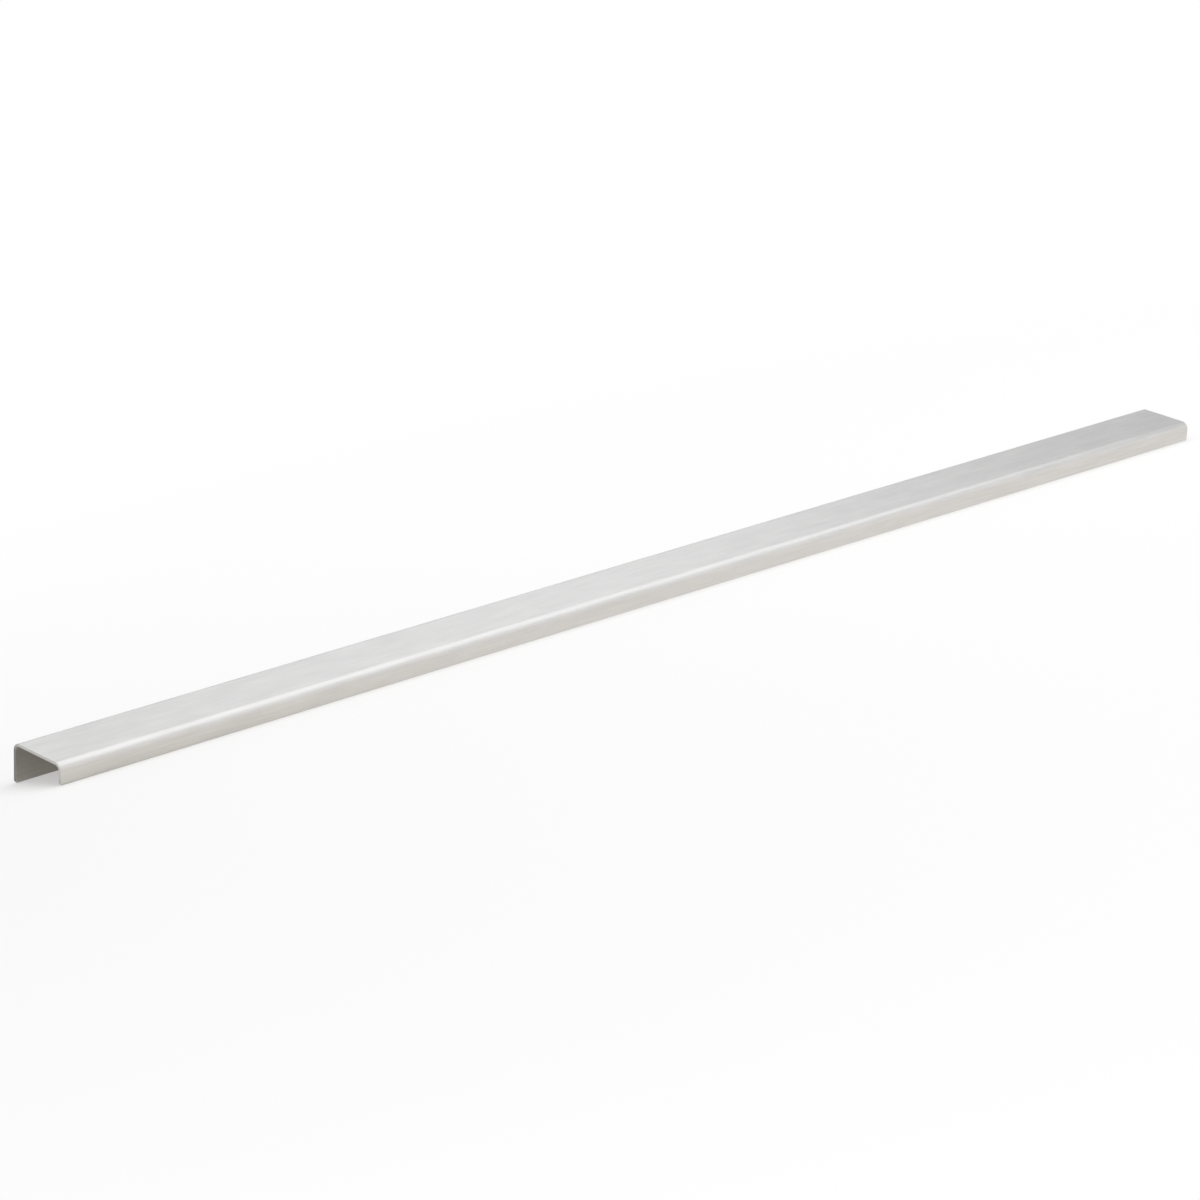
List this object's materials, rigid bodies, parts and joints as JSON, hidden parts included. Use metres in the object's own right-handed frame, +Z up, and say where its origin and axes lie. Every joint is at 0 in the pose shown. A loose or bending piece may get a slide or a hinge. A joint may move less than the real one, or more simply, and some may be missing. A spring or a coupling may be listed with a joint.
{
  "type": "handleless finger pull profile",
  "caption": "Long folded metal channel with a deep rear flange, flat top and short front lip, for the top edge of a door or drawer front",
  "frame": {"origin": "on the floor, under the middle of the bounding box, with the profile standing on the free edges of its two flanges", "axes": "+X along the length, +Y to the rear flange's side, +Z up; the section leans forward by 16.3 degrees about X, because the front lip is the shorter flange"},
  "size_m": [0.9, 0.0426, 0.0209],
  "materials": {
    "satin_steel": "satin, with a fine even grain along the length"
  },
  "bodies": {
    "root": {"pull_profile": "satin_steel"}
  },
  "joints": []
}
